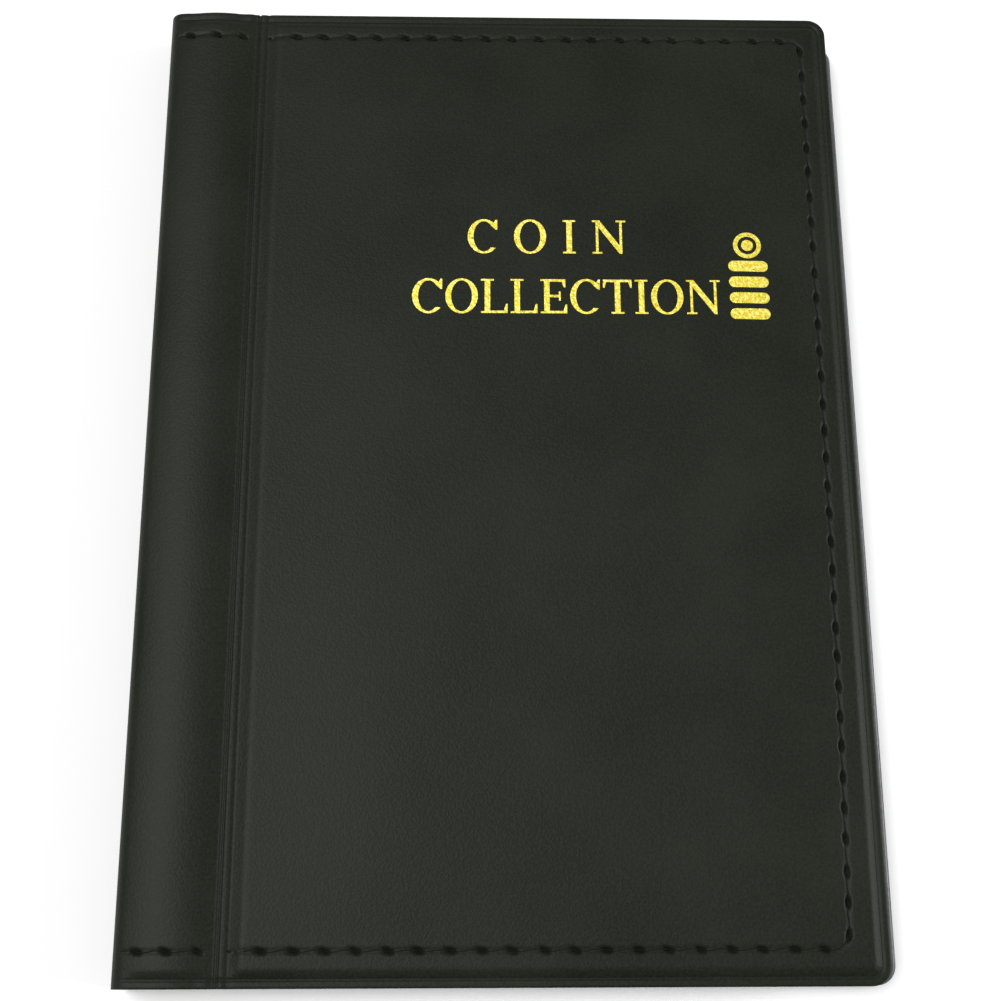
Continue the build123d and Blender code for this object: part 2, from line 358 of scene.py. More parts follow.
@dataclass(frozen=True)
class Seam:
    """A line of stitches: out along one edge from the spine, down the free edge and back."""

    start_x: float
    end_x: float
    half_y: float
    corner: float = 2.5
    pitch: float = 5.05
    slot_half: tuple[float, float] = (0.92, 0.4)
    end_slant: float = -19.0
    side_slant: float = 5.0
    slot_shift: tuple[float, float] = (0.12, 2.4)
    slot_wobble: tuple[float, float] = (0.1, 5.1)
    valley_half: float = 0.4
    lean: float = 0.0
    rise: float = 0.0

    @property
    def reach(self) -> float:
        """The length of the seam's straight line along an end of the cover."""
        return self.end_x - self.corner - self.start_x

    @property
    def bend(self) -> float:
        """The length of one rounded corner."""
        return math.pi / 2.0 * self.corner

    @property
    def length(self) -> float:
        """The length of the whole seam."""
        return 2.0 * (self.reach + self.bend + self.half_y - self.corner)

    @property
    def stitches(self) -> int:
        """How many needle holes the seam has."""
        return round(self.length / self.pitch)

    @property
    def spacing(self) -> float:
        """The even distance between needle holes."""
        return self.length / self.stitches

    @property
    def least_x(self) -> float:
        """How far out the free run is where it has wandered furthest inwards."""
        return self.end_x - self.lean

    @property
    def least_y(self) -> float:
        """How far from the middle the nearer end run is."""
        return self.half_y - self.rise

    def squeeze(self, y: float) -> float:
        """Return how much the seam is narrowed at a height, where its free run wanders inwards."""
        down = min(max((self.half_y - y) / (2.0 * self.half_y), 0.0), 1.0)
        return 1.0 - self.lean * down**3 / (self.end_x - self.start_x)

    def at(self, along: float) -> tuple[Vector, Vector]:
        """Return a place on the seam as it is sewn and the direction in which it runs there.

        Args:
            along: Distance from the seam's start on the +Y side.

        Returns:
            The place and the unit direction, both flat.
        """
        place, heading = self.drawn(along)
        x = self.start_x + (place.x - self.start_x) * self.squeeze(place.y)
        return Vector((x, place.y / self.stretch(place.y))), heading

    def stretch(self, y: float) -> float:
        """Return how much taller the seam is drawn than it is sewn, on one side of the middle."""
        return 1.0 + self.rise / self.half_y if y < 0.0 else 1.0

    def drawn(self, along: float) -> tuple[Vector, Vector]:
        """Return a place on the seam before it wanders, and the direction in which it runs there.

        Args:
            along: Distance from the seam's start on the +Y side.

        Returns:
            The place and the unit direction, both flat.
        """
        if along > self.length / 2.0:
            place, heading = self.drawn(self.length - along)
            return Vector((place.x, -place.y)), Vector((-heading.x, heading.y))
        if along <= self.reach:
            return Vector((self.start_x + along, self.half_y)), Vector((1.0, 0.0))
        past = along - self.reach
        middle = Vector((self.end_x - self.corner, self.half_y - self.corner))
        if past <= self.bend:
            angle = math.pi / 2.0 - past / self.corner
            spoke = Vector((math.cos(angle), math.sin(angle)))
            return middle + spoke * self.corner, Vector((spoke.y, -spoke.x))
        return Vector((self.end_x, middle.y - (past - self.bend))), Vector((0.0, -1.0))

    def nearest(self, x: float, y: float) -> tuple[float, float]:
        """Return how far along the seam a place is and how far outside the seam.

        Args:
            x: The place's x.
            y: The place's y.

        Returns:
            The distance along the seam and the distance outside it, negative inside.
        """
        y *= self.stretch(y)
        x = self.start_x + (x - self.start_x) / self.squeeze(y)
        reach_x, reach_y = self.end_x - self.corner, self.half_y - self.corner
        height = abs(y)
        if x > reach_x and height > reach_y:
            angle = math.atan2(height - reach_y, x - reach_x)
            along = self.reach + self.corner * (math.pi / 2.0 - angle)
            across = math.hypot(x - reach_x, height - reach_y) - self.corner
        elif height > reach_y or (x <= reach_x and self.half_y - height < self.end_x - x):
            along, across = x - self.start_x, height - self.half_y
        else:
            along, across = self.reach + self.bend + reach_y - height, x - self.end_x
        return (along if y >= 0.0 else self.length - along), across

    def slant(self, along: float) -> float:
        """Return the slant of the slots, in radians, which eases from the ends to the side.

        Args:
            along: Distance along the seam.

        Returns:
            The angle.
        """
        from_corner = min(along, self.length - along) - self.reach
        share = smooth(0.0, self.bend, from_corner)
        return math.radians(self.end_slant * (1.0 - share) + self.side_slant * share)

    def pull(self, x: float, y: float) -> tuple[float, float]:
        """Return how much of the valley and of a needle slot there is at a place.

        Args:
            x: The place's x.
            y: The place's y.

        Returns:
            The valley's share and the slot's share, each from 0 to 1.
        """
        along, across = self.nearest(x, y)
        if abs(across) > 2.0 or along < -1.0 or along > self.length + 1.0:
            return 0.0, 0.0
        number = min(max(round(along / self.spacing - 0.5), 0), self.stitches - 1)
        hole = (number + 0.5) * self.spacing
        uneven = self.slot_shift[0] * math.sin(number * self.slot_shift[1])
        angle = self.slant(hole) + self.slot_wobble[0] * math.sin(number * self.slot_wobble[1])
        u, v = along - hole - uneven, across
        long_way = (u * math.cos(angle) + v * math.sin(angle)) / self.slot_half[0]
        short_way = (v * math.cos(angle) - u * math.sin(angle)) / self.slot_half[1]
        slot = math.exp(-((long_way**2 + short_way**2) ** 1.5))
        ends = smooth(-1.0, 0.6, along) * smooth(-1.0, 0.6, self.length - along)
        return dent(across, self.valley_half) * ends, slot


# Meshes

def make_object(
    name: str, bm: bmesh.types.BMesh, finish: bpy.types.Material, shade: bool = True
) -> bpy.types.Object:
    """Turn a mesh in millimetres into a piece at the origin, in metres.

    Args:
        name: The piece's name.
        bm: The mesh, which is freed.
        finish: The piece's material.
        shade: Whether the faces are smooth shaded.

    Returns:
        The new object.
    """
    bm.transform(Matrix.Scale(MM, 4))
    for face in bm.faces:
        face.smooth = shade
    mesh = bpy.data.meshes.new(name)
    bm.to_mesh(mesh)
    bm.free()
    mesh.materials.append(finish)
    piece = bpy.data.objects.new(name, mesh)
    bpy.context.scene.collection.objects.link(piece)
    return piece


def stands_for(piece: bpy.types.Object, slot: str, *nodes: str) -> None:
    """Hide the frame's nodes that a piece stands for, and log the piece.

    Args:
        piece: The finished piece.
        slot: The name of its material's slot; not used.
        *nodes: The nodes that it stands for.
    """
    if nodes:
        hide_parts(*nodes)
    log.info("%s: %d faces", piece.name, len(piece.data.polygons))


def flat_grid(columns: Sequence[float], rows: Sequence[float]) -> bmesh.types.BMesh:
    """Return a flat grid whose lines lie at the given places.

    Args:
        columns: The x of each line up the page.
        rows: The y of each line across the page.

    Returns:
        The grid, at height zero.
    """
    bm = bmesh.new()
    bmesh.ops.create_grid(bm, x_segments=len(columns) - 1, y_segments=len(rows) - 1, size=1.0)
    for vert in bm.verts:
        column = round((vert.co.x + 1.0) / 2.0 * (len(columns) - 1))
        row = round((vert.co.y + 1.0) / 2.0 * (len(rows) - 1))
        vert.co = Vector((columns[column], rows[row], 0.0))
    return bm


def round_corners(bm: bmesh.types.BMesh, free_x: float, half_height: float, radius: float) -> None:
    """Draw the grid's squares at the two free corners in to quarter rounds.

    Args:
        bm: The flat grid.
        free_x: Where its free edge is.
        half_height: Half its height.
        radius: The corners' radius.
    """
    middle_x, middle_y = free_x - radius, half_height - radius
    for vert in bm.verts:
        out_x, out_y = vert.co.x - middle_x, abs(vert.co.y) - middle_y
        if out_x > 0.0 and out_y > 0.0:
            scale = max(out_x, out_y) / math.hypot(out_x, out_y)
            vert.co.x = middle_x + out_x * scale
            vert.co.y = math.copysign(middle_y + out_y * scale, vert.co.y)


def face_up(bm: bmesh.types.BMesh, upward: bool) -> None:
    """Turn all the faces of a flat grid to look along +Z or -Z.

    Args:
        bm: The flat mesh.
        upward: Whether the faces look along +Z.
    """
    bm.normal_update()
    wrong = [face for face in bm.faces if (face.normal.z > 0.0) != upward]
    bmesh.ops.reverse_faces(bm, faces=wrong)


def remember_surface(bm: bmesh.types.BMesh) -> None:
    """Store every vertex's place on the flat sheet, in metres, for the grain to follow.

    Args:
        bm: The flat sheet, in millimetres, before it is laid on the album.
    """
    layer = bm.verts.layers.float_vector.new(SURFACE)
    for vert in bm.verts:
        vert[layer] = vert.co * MM


def add_wall(piece: bpy.types.Object, thickness: float) -> None:
    """Give a sheet its thickness in millimetres, behind the side that its faces look to.

    Args:
        piece: The sheet.
        thickness: Its thickness.
    """
    wall = piece.modifiers.new("wall", "SOLIDIFY")
    wall.thickness = thickness * MM
    wall.offset = -1.0
    wall.use_rim = True
    wall.use_even_offset = False


def tube(name: str, route: Sequence[Vector], radius: float, finish: bpy.types.Material) -> bpy.types.Object:
    """Return a thin closed tube of a few sides along a route in millimetres.

    Args:
        name: The piece's name.
        route: The points of the tube's middle line.
        radius: The tube's radius.
        finish: The piece's material.

    Returns:
        The new object.
    """
    curve = bpy.data.curves.new(name, "CURVE")
    curve.dimensions = "3D"
    curve.bevel_depth = radius * MM
    curve.bevel_resolution = 1
    curve.use_fill_caps = True
    spline = curve.splines.new("POLY")
    spline.points.add(len(route) - 1)
    for point, place in zip(spline.points, route):
        point.co = (*(place * MM), 1.0)
    holder = bpy.data.objects.new(name, curve)
    bpy.context.scene.collection.objects.link(holder)
    graph = bpy.context.evaluated_depsgraph_get()
    mesh = bpy.data.meshes.new_from_object(holder.evaluated_get(graph))
    bpy.data.objects.remove(holder)
    bpy.data.curves.remove(curve)
    bm = bmesh.new()
    bm.from_mesh(mesh)
    bpy.data.meshes.remove(mesh)
    bmesh.ops.remove_doubles(bm, verts=bm.verts, dist=1e-6)
    bmesh.ops.recalc_face_normals(bm, faces=bm.faces)
    bmesh.ops.scale(bm, vec=(1.0 / MM,) * 3, verts=bm.verts)
    return make_object(name, bm, finish)


# Shader building

class Value:
    """A shader socket that Python's operators work on, for numbers."""

    def __init__(self, nodes: Nodes, socket: bpy.types.NodeSocket) -> None:
        """Wrap a socket of a node tree."""
        self.nodes = nodes
        self.socket = socket

    def math(self, operation: str, *others: Value | float) -> Value:
        """Return the result of a Math node on this value and others."""
        inputs = {0: self, **dict(enumerate(others, 1))}
        return self.nodes.add("ShaderNodeMath", {"operation": operation}, inputs)

    def __add__(self, other: Value | float) -> Value:
        """Add."""
        return self.math("ADD", other)

    def __sub__(self, other: Value | float) -> Value:
        """Subtract."""
        return self.math("SUBTRACT", other)

    def __mul__(self, other: Value | float) -> Value:
        """Multiply."""
        return self.math("MULTIPLY", other)

    def __truediv__(self, other: Value | float) -> Value:
        """Divide."""
        return self.math("DIVIDE", other)

    def __rsub__(self, other: float) -> Value:
        """Subtract from a number."""
        return self.nodes.add("ShaderNodeMath", {"operation": "SUBTRACT"}, {0: other, 1: self})

    __radd__ = __add__
    __rmul__ = __mul__

    def step(self, low: float, high: float) -> Value:
        """Return 0 below low, 1 above high and an eased share between, or the other way round.

        Args:
            low: Where the share is 0.
            high: Where the share is 1, which may be the smaller number.

        Returns:
            The share.
        """
        if low > high:
            return 1.0 - self.step(high, low)
        inputs = {"Value": self, "From Min": low, "From Max": high}
        return self.nodes.add("ShaderNodeMapRange", {"interpolation_type": "SMOOTHSTEP"}, inputs)


class Nodes:
    """A material's node tree, built one node at a time."""

    def __init__(self, name: str) -> None:
        """Start a material with a bare Principled shader.

        Args:
            name: The material's name.
        """
        self.material = bpy.data.materials.new(name)
        self.material.use_nodes = True
        self.tree = self.material.node_tree
        self.tree.nodes.clear()
        self.shader = self.tree.nodes.new("ShaderNodeBsdfPrincipled")
        output = self.tree.nodes.new("ShaderNodeOutputMaterial")
        self.tree.links.new(self.shader.outputs["BSDF"], output.inputs["Surface"])

    def put(self, target: bpy.types.NodeSocket, value: object) -> None:
        """Link a value to a socket, or set it there.

        Args:
            target: The socket that takes the value.
            value: A wrapped socket, or a number, a colour or a vector.
        """
        if isinstance(value, Value):
            self.tree.links.new(value.socket, target)
        else:
            target.default_value = value

    def add(
        self, kind: str, settings: dict | None = None, inputs: dict | None = None, output: int | str = 0
    ) -> Value:
        """Add a node.

        Args:
            kind: The node's type.
            settings: Properties that are set first.
            inputs: Values or links by the socket's name or number.
            output: The output that is returned.

        Returns:
            The chosen output, wrapped.
        """
        node = self.tree.nodes.new(kind)
        for key, value in (settings or {}).items():
            setattr(node, key, value)
        for key, value in (inputs or {}).items():
            self.put(node.inputs[key], value)
        return Value(self, node.outputs[output])

    def coordinates(self, laid: bool) -> Value:
        """Return where the surface is: on its flat sheet, or in the object.

        Args:
            laid: Whether the surface remembers its flat sheet.

        Returns:
            The place, in metres.
        """
        if laid:
            return self.add("ShaderNodeAttribute", {"attribute_name": SURFACE}, output="Vector")
        return self.add("ShaderNodeTexCoord", output="Object")

    def noise(self, place: Value, size: float, detail: float = 3.0, rough: float = 0.5) -> Value:
        """Return cloudy noise whose patches are about a size in millimetres."""
        inputs = {"Vector": place, "Scale": 1.0 / (size * MM), "Detail": detail, "Roughness": rough}
        return self.add("ShaderNodeTexNoise", {"noise_dimensions": "3D"}, inputs, "Fac")

    def cells(self, place: Value, size: float, feature: str = "F1") -> Value:
        """Return the distances in a cell pattern whose cells are about a size in millimetres."""
        inputs = {"Vector": place, "Scale": 1.0 / (size * MM)}
        return self.add("ShaderNodeTexVoronoi", {"feature": feature}, inputs)

    def part(self, place: Value, axis: str) -> Value:
        """Return one coordinate of a place, in metres."""
        return self.add("ShaderNodeSeparateXYZ", None, {0: place}, axis)

    def mix(self, share: Value | float, first: object, second: object) -> Value:
        """Return a colour between two colours."""
        return self.add("ShaderNodeMix", {"data_type": "RGBA"}, {0: share, 6: first, 7: second}, 2)

    def bump(self, height: Value, depth: float) -> Value:
        """Return the normal of a surface raised by a height of up to a depth in millimetres."""
        inputs = {"Height": height, "Distance": depth * MM, "Strength": 1.0}
        return self.add("ShaderNodeBump", None, inputs)

    def dress(self, **sockets: object) -> bpy.types.Material:
        """Set the shader's sockets, named with _ for spaces, and return the material.

        Args:
            **sockets: Values by the socket's name.

        Returns:
            The finished material.
        """
        for key, value in sockets.items():
            self.put(self.shader.inputs[key.replace("_", " ")], value)
        return self.material


# Finishes

class Finish:
    """A material of the album, which each kind paints in its own way.

    A kind whose pattern follows a sheet as it was cut has laid set to True.
    """

    laid = False

    def build(self, name: str) -> bpy.types.Material:
        """Return the material."""
        nodes = Nodes(name)
        return nodes.dress(**self.paint(nodes, nodes.coordinates(self.laid)))


@dataclass(frozen=True)
class Leatherette(Finish):
    """Coated cloth with a fine pebble grain, nearly black with a touch of green."""

    laid = True
    deep: tuple = linear(18, 22, 13)
    pale: tuple = linear(31, 34, 26)
    lint: tuple = linear(150, 150, 140)
    roughness: float = 0.47
    gloss: float = 0.12
    grain: float = 0.36
    grain_depth: float = 0.022

    def paint(self, nodes: Nodes, place: Value) -> dict[str, object]:
        """Return what goes to the shader's sockets.

        Args:
            nodes: The material's node tree.
            place: Where the surface is, in metres.

        Returns:
            The values of the shader's sockets, by name.
        """
        pebbles = nodes.cells(place, self.grain, "SMOOTH_F1").step(0.15, 0.75)
        fine = nodes.noise(place, 0.16, 2.0)
        cloud = nodes.noise(place, 26.0, 3.0, 0.55)
        speckle = nodes.noise(place, 0.5, 2.0, 0.7)
        shade = (cloud * 0.5 + speckle * 0.5 + pebbles * 0.12).step(0.3, 0.78)
        base = nodes.mix(shade, self.deep, self.pale)
        fleck = nodes.cells(place, 19.0).step(0.011, 0.006)
        rare = nodes.noise(place, 41.0, 1.0).step(0.52, 0.6)
        base = nodes.mix(fleck * rare, base, self.lint)
        height = pebbles * -0.7 + fine * 0.35
        rough = self.roughness + (cloud - 0.5) * 0.1 + (speckle - 0.5) * 0.08
        return dict(
            Base_Color=base,
            Roughness=rough,
            Normal=nodes.bump(height, self.grain_depth),
            Specular_IOR_Level=self.gloss,
        )


@dataclass(frozen=True)
class LiningSheet(Finish):
    """Smooth embossed plastic sheet, dark grey."""

    laid = True
    deep: tuple = linear(62, 63, 66)
    pale: tuple = linear(84, 85, 89)
    roughness: float = 0.34

    def paint(self, nodes: Nodes, place: Value) -> dict[str, object]:
        """Return what goes to the shader's sockets.

        Args:
            nodes: The material's node tree.
            place: Where the surface is, in metres.

        Returns:
            The values of the shader's sockets, by name.
        """
        emboss = nodes.cells(place, 0.55, "SMOOTH_F1")
        cloud = nodes.noise(place, 18.0, 3.0)
        base = nodes.mix((cloud * 0.7 + emboss * 0.5).step(0.2, 0.85), self.deep, self.pale)
        return dict(
            Base_Color=base,
            Roughness=self.roughness + (cloud - 0.5) * 0.12,
            Normal=nodes.bump(emboss * -1.0, 0.03),
        )


@dataclass(frozen=True)
class Foam(Finish):
    """Open white foam sheet."""

    deep: tuple = linear(205, 200, 186)
    pale: tuple = linear(238, 236, 228)

    def paint(self, nodes: Nodes, place: Value) -> dict[str, object]:
        """Return what goes to the shader's sockets.

        Args:
            nodes: The material's node tree.
            place: Where the surface is, in metres.

        Returns:
            The values of the shader's sockets, by name.
        """
        pores = nodes.cells(place, 0.4)
        base = nodes.mix(pores.step(0.1, 0.6), self.pale, self.deep)
        return dict(Base_Color=base, Roughness=0.95, Normal=nodes.bump(pores, 0.12))


@dataclass(frozen=True)
class Board(Finish):
    """Pulp board or card with fibres and flecks."""

    deep: tuple
    pale: tuple
    fleck: tuple

    def paint(self, nodes: Nodes, place: Value) -> dict[str, object]:
        """Return what goes to the shader's sockets.

        Args:
            nodes: The material's node tree.
            place: Where the surface is, in metres.

        Returns:
            The values of the shader's sockets, by name.
        """
        pulp = nodes.noise(place, 3.0, 6.0, 0.7)
        fibre = nodes.noise(place, 0.5, 4.0, 0.6)
        base = nodes.mix(pulp.step(0.3, 0.7), self.deep, self.pale)
        base = nodes.mix(fibre.step(0.66, 0.74) * 0.7, base, self.fleck)
        return dict(Base_Color=base, Roughness=0.88, Normal=nodes.bump(fibre, 0.05))


@dataclass(frozen=True)
class ClearFilm(Finish):
    """Clear soft plastic, frosted where it is welded to the next layer."""

    tint: tuple = linear(214, 222, 226)
    frost: tuple = linear(238, 240, 242)
    clear: float = 0.2
    welded: float = 0.62
    left_x: float = 0.0
    column: float = 0.0
    row: float = 0.0
    weld_half: float = 0.7

    def paint(self, nodes: Nodes, place: Value) -> dict[str, object]:
        """Return what goes to the shader's sockets.

        Args:
            nodes: The material's node tree.
            place: Where the surface is, in metres.

        Returns:
            The values of the shader's sockets, by name.
        """
        haze = nodes.noise(place, 22.0, 3.0)
        ripple = nodes.noise(place, 9.0, 2.0)
        sheet = self.clear + (haze - 0.5) * 0.08
        base, alpha, rough = self.tint, sheet, 0.1 + haze * 0.06
        height = ripple * 0.25
        if self.column:
            across = (nodes.part(place, "X") - self.left_x * MM) / (self.column * MM)
            beside = (across + 0.5).math("FRACT").math("SUBTRACT", 0.5).math("ABSOLUTE") * self.column
            up = nodes.part(place, "Y") / (self.row * MM)
            under = (up + 0.5).math("FRACT").math("SUBTRACT", 0.5).math("ABSOLUTE") * self.row
            lines = beside.step(self.weld_half, self.weld_half * 0.6)
            foot = under.step(self.weld_half * 1.6, self.weld_half)
            weld = lines.math("MAXIMUM", foot)
            knurl = (nodes.part(place, "Y") * (2.0 * math.pi / (0.9 * MM))).math("SINE") * 0.5 + 0.5
            base = nodes.mix(weld, self.tint, self.frost)
            alpha = sheet + weld * (self.welded - self.clear) * (0.75 + knurl * 0.25)
            rough = rough + weld * 0.3
            height = height - weld * (0.6 + knurl * 0.4)
        return dict(
            Base_Color=base,
            Roughness=rough,
            Alpha=alpha,
            Normal=nodes.bump(height, 0.06),
            IOR=1.5,
        )


@dataclass(frozen=True)
class RivetSteel(Finish):
    """Plain rivet steel, brushed and a little stained."""

    pale: tuple = linear(196, 196, 192)
    deep: tuple = linear(150, 149, 146)

    def paint(self, nodes: Nodes, place: Value) -> dict[str, object]:
        """Return what goes to the shader's sockets.

        Args:
            nodes: The material's node tree.
            place: Where the surface is, in metres.

        Returns:
            The values of the shader's sockets, by name.
        """
        drawn = nodes.add("ShaderNodeMapping", None, {"Vector": place, "Scale": (1.0, 9.0, 1.0)})
        scratches = nodes.noise(drawn, 1.2, 5.0, 0.7)
        stain = nodes.noise(place, 2.0, 3.0)
        return dict(
            Base_Color=nodes.mix(stain.step(0.35, 0.75), self.pale, self.deep),
            Metallic=1.0,
            Roughness=0.28 + scratches * 0.2,
            Normal=nodes.bump(scratches, 0.01),
        )


@dataclass(frozen=True)
class Thread(Finish):
    """Black polyester sewing thread."""

    deep: tuple = linear(6, 7, 6)
    pale: tuple = linear(18, 19, 17)

    def paint(self, nodes: Nodes, place: Value) -> dict[str, object]:
        """Return what goes to the shader's sockets.

        Args:
            nodes: The material's node tree.
            place: Where the surface is, in metres.

        Returns:
            The values of the shader's sockets, by name.
        """
        plies = nodes.noise(place, 0.25, 3.0)
        return dict(
            Base_Color=nodes.mix(plies, self.deep, self.pale),
            Roughness=0.85,
            Specular_IOR_Level=0.2,
            Normal=nodes.bump(plies, 0.06),
        )


@dataclass(frozen=True)
class GoldFoil(Finish):
    """Hot-stamped gold foil that takes on the grain beneath it, with pale yellow specks of painted highlight
    and olive specks of painted shade in its colour.
    """

    lemon_highlight: tuple = linear(253, 244, 128)
    gold: tuple = linear(232, 208, 52)
    shadow: tuple = linear(112, 98, 26)

    def paint(self, nodes: Nodes, place: Value) -> dict[str, object]:
        """Return what goes to the shader's sockets.

        Args:
            nodes: The material's node tree.
            place: Where the surface is, in metres.

        Returns:
            The values of the shader's sockets, by name.
        """
        grain = nodes.cells(place, 0.5, "SMOOTH_F1")
        speck = nodes.noise(place, 0.5, 3.0, 0.65)
        # Painted highlight: pale yellow specks mixed into the gold stand in for the foil's glints.
        base = nodes.mix(speck.step(0.42, 0.62), self.gold, self.lemon_highlight)
        # Painted shade: olive specks of the shadow colour stand in for the foil's dark spots.
        base = nodes.mix(nodes.noise(place, 0.42, 2.0).step(0.6, 0.72) * 0.8, base, self.shadow)
        return dict(
            Base_Color=base,
            Metallic=0.45,
            Roughness=0.3 + speck * 0.15,
            Normal=nodes.bump(grain * -1.0 + speck * 0.6, 0.09),
        )


@dataclass(frozen=True)
class PaleFloor(Finish):
    """A plain pale studio floor."""

    pale: tuple = (0.95, 0.95, 0.95, 1.0)
    dusty: tuple = (0.9, 0.9, 0.9, 1.0)

    def paint(self, nodes: Nodes, place: Value) -> dict[str, object]:
        """Return what goes to the shader's sockets."""
        haze = nodes.noise(place, 300.0, 2.0)
        return dict(Base_Color=nodes.mix(haze * 0.1, self.pale, self.dusty), Roughness=0.85)


# Covers

@dataclass
class Half:
    """One half of the album's cover: its skin, lining, padding and thread."""

    album: Album
    side: Side
    finishes: dict[str, bpy.types.Material]
    seam_inset: float = 5.1
    seam_lean: float = 0.0
    seam_rise: float = 0.0
    valley: float = 0.2
    slot: float = 0.3
    shoulder: float = 1.5
    rim_weld: float = 0.25
    crease_lines: tuple = ((-0.8, 0.2, 0.34), (0.85, 0.42, 0.16))
    ramp: tuple[float, float] = (1.15, 3.4)
    strip_fall: float = 0.5
    strip_near: tuple[float, float] = (0.2, 3.0)
    strip_far: tuple[float, float] = (11.0, 14.5)
    groove_far: tuple[float, float] = (13.0, 16.0)
    swell_inset: tuple[float, float] = (5.4, 21.0)
    swell_past: tuple[float, float] = (3.0, 30.0)
    swell: float = 0.0
    rim_groove: float = 0.0
    lip_round: float = 0.2
    thread_lift: float = -0.07
    thread_dip: float = 0.4
    thread_sway: float = 0.16
    dip_half: float = 0.55
    outer_thread: float = 0.15
    inner_thread: float = 0.16
    seam_band: float = 1.3
    rim_band: float = 1.9
    lip_band: float = 0.4
    pad_clear: float = 0.1
    cell: float = 1.9
    path: Path = field(init=False)
    inner: Path = field(init=False)
    seam: Seam = field(init=False)

    def __post_init__(self) -> None:
        """Work out the section paths and the seam."""
        front = self.side is Side.FRONT
        self.path = crowned_path(self.album) if front else flat_path(self.album)
        self.inner = lining_path(self.album, self.side)
        self.seam = Seam(
            start_x=self.album.spine_x + 1.3,
            end_x=self.album.free_x[self.side] - self.seam_inset,
            half_y=self.album.half_height - self.seam_inset,
            lean=self.seam_lean,
            rise=self.seam_rise,
        )

    def crease(self, past: float) -> float:
        """Return the depth of the two pressed lines of the crease, past its axis."""
        return sum(depth * dent(past - place, width) for place, width, depth in self.crease_lines)

    def cover_height(self, x: float, y: float) -> float:
        """Return how far the cover's outside stands out from the web.

        Args:
            x: The place's x.
            y: The place's y.

        Returns:
            The height, which is negative in a groove.
        """
        past = x - self.album.crease_x
        inset = self.album.inset(self.side, x, y)
        start = self.album.rim + self.rim_weld
        shape = smooth(*self.ramp, past) * smooth(start, start + self.shoulder, inset)
        height = self.album.step * shape
        if self.swell:
            roll = noise.noise(Vector((x * 0.035, y * 0.03, 3.0)))
            share = smooth(*self.swell_inset, inset) * smooth(*self.swell_past, past)
            height += self.swell * share * (1.0 + 0.2 * roll)
        return height - self.crease(past) - self.edge_drop(inset)

    def room(self, x: float) -> float:
        """Return the share of its depth that a pressed mark may have, which is less at the thin crease."""
        return 0.1 + 0.9 * smooth(1.2, 3.4, abs(x - self.album.crease_x))

    def edge_drop(self, inset: float) -> float:
        """Return how far the rim's outer edge rounds over and its welded groove is pressed in."""
        rounded = 0.16 * (1.0 - min(inset / 0.4, 1.0)) ** 2
        return rounded + self.rim_groove * dent(inset - self.album.rim - 0.2, 0.24)

    def strip_drop(self, distance: float, y: float) -> float:
        """Return how far the strip beside the spine falls at its two ends.

        Args:
            distance: Distance from the crease towards the spine.
            y: Height up the page.

        Returns:
            The fall.
        """
        inset = self.album.half_height - abs(y)
        start = self.album.rim + self.rim_weld
        fall = smooth(*self.strip_near, distance) * (1.0 - smooth(*self.strip_far, distance))
        rounded = self.edge_drop(inset) * (1.0 - smooth(*self.groove_far, distance))
        return self.strip_fall * fall * (1.0 - smooth(start, start + self.shoulder, inset)) + rounded

    def outside(self, x: float, y: float, sewn: bool = True) -> Vector:
        """Return the place in the album of a place on the flat skin.

        Args:
            x: Distance along the flat skin, which is the album's x beyond the crease.
            y: Height up the page.
            sewn: Whether the seam's valley and slots are pressed in.

        Returns:
            The place in the album, in millimetres.
        """
        valley, slot = self.seam.pull(x, y) if sewn else (0.0, 0.0)
        pressed = (self.valley * valley + self.slot * slot) * self.room(x)
        distance = self.album.crease_x - self.album.web_half - x
        if distance <= 0.0:
            height = self.cover_height(x, y) - pressed
            return Vector((x, y, self.album.web_z[self.side] + self.side.value * height))
        place_x, place_z, heading = self.path.at(distance)
        drop = self.strip_drop(distance, y) + pressed + self.crease(-self.album.web_half - distance)
        out = Vector((math.sin(heading), 0.0, -math.cos(heading))) * self.side.value
        return Vector((place_x, y, place_z)) - out * drop

    def inside(self, x: float, y: float) -> Vector:
        """Return the place in the album of a place on the flat lining.

        Args:
            x: Distance along the flat lining, which is the album's x beyond the crease.
            y: Height up the page.

        Returns:
            The place in the album, in millimetres.
        """
        album, out = self.album, self.side.value
        web_z = album.lining_web_z[self.side]
        distance = album.crease_x - album.web_half - x
        if distance <= 0.0:
            inset = album.inset(self.side, x, y)
            depth = abs(web_z - album.lining_z[self.side])
            shape = smooth(album.web_half, 2.5, x - album.crease_x) * smooth(album.rim, 2.1, inset)
            rounded = self.lip_round * (1.0 - min(inset / 0.7, 1.0)) ** 2
            rounded -= 0.1 * (1.0 - smooth(0.8, 1.5, abs(x - album.crease_x)))
            return Vector((x, y, web_z + out * (rounded - depth * shape)))
        place_x, place_z, _ = self.inner.at(distance)
        over = self.outside(x, y, sewn=False)
        rim_z = over.z - out * (album.skin + album.lining)
        share = 1.0 - smooth(album.rim - 0.2, 2.1, album.half_height - abs(y))
        along_stubs = smooth(0.0, 1.6, distance) * (1.0 - smooth(14.0, 16.4, distance))
        lift = max((rim_z - place_z) * out, 0.0)
        raised = share * along_stubs
        return Vector((place_x, y - math.copysign(0.14 * raised, y), place_z + out * lift * raised))

    def outwards(self, near: float, far: float, free: float, fine: bool) -> list[tuple[float, float]]:
        """Return a grid's stretches over the panel, the seam and the rim.

        Args:
            near: Where the seam is at its innermost.
            far: Where the seam is at its outermost.
            free: Where the free edge is.
            fine: Whether the grid is close enough for stitches.

        Returns:
            The stretches, for stations.
        """
        rim_step, seam_step, edge_step = (0.19, 0.24, 0.1) if fine else (0.5, 1.2, 0.5)
        return [
            (near - self.seam_band, self.cell),
            (far + self.seam_band, seam_step),
            (free - self.rim_band, 0.5),
            (free - self.lip_band, rim_step),
            (free, edge_step),
        ]

